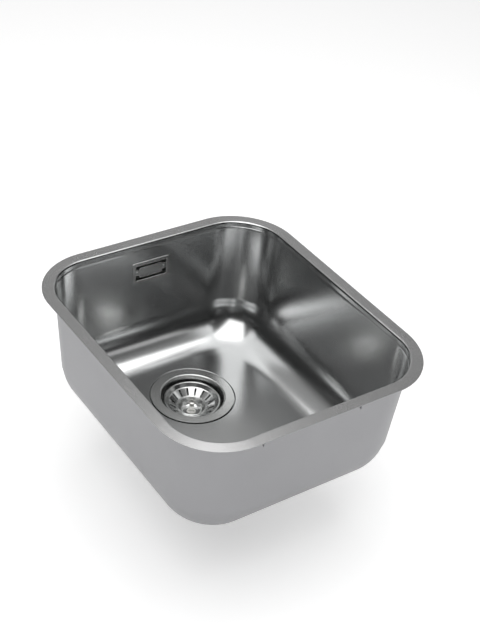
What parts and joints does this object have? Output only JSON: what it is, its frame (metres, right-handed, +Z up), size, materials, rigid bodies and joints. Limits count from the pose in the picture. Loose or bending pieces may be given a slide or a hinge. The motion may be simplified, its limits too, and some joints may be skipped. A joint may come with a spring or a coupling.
{
  "type": "undermount kitchen sink",
  "caption": "Undermount pressed steel kitchen sink bowl with a flat rim, a basket strainer waste and an overflow piped to it.",
  "frame": {"origin": "centre of the rim's top plane, which meets the underside of the worktop", "axes": "+Z up out of the bowl, +Y towards the rear wall that holds the overflow, +X to the right when looking along +Y"},
  "size_m": [0.374, 0.4368, 0.272],
  "materials": {
    "bowl_steel": "fine satin, brighter on the flat rim",
    "bracket_steel": "satin",
    "damping_sheet": "matt, self-adhesive",
    "waste_steel": "bright satin",
    "basket_steel": "bright satin",
    "knob_metal": "polished, slightly warm",
    "stem_steel": "turned",
    "seal_rubber": "matt",
    "body_plastic": "moulded",
    "nut_plastic": "moulded",
    "pipe_plastic": "blow-moulded, ribbed",
    "insert_brass": "knurled",
    "overflow_steel": "satin",
    "screw_steel": "bright",
    "clamp_steel": "spring steel"
  },
  "bodies": {
    "sink": {"bowl": "bowl_steel", "clip_lugs": "bracket_steel", "sound_pad": "damping_sheet", "strainer_cup": "waste_steel", "flange_gasket": "seal_rubber", "under_gasket": "seal_rubber", "waste_body": "body_plastic", "centre_screw": "screw_steel", "screw_insert": "insert_brass", "overflow_frame": "overflow_steel", "overflow_plate": "overflow_steel", "overflow_screws": "screw_steel", "overflow_inserts": "insert_brass", "overflow_gasket": "seal_rubber", "overflow_housing": "body_plastic", "overflow_pipe": "pipe_plastic", "pipe_clamp": "clamp_steel", "pipe_seal": "seal_rubber", "ring_nut": "nut_plastic"},
    "basket": {"basket_shell": "basket_steel", "basket_knob": "knob_metal", "basket_stem": "stem_steel", "basket_seal": "seal_rubber", "seal_washer": "screw_steel", "stem_catch": "clamp_steel"}
  },
  "joints": [
    {"name": "basket_lift", "type": "slide", "parent": "sink", "child": "basket", "axis": [0, 0, 1], "range_m": [-0.0067, 0.24]}
  ]
}
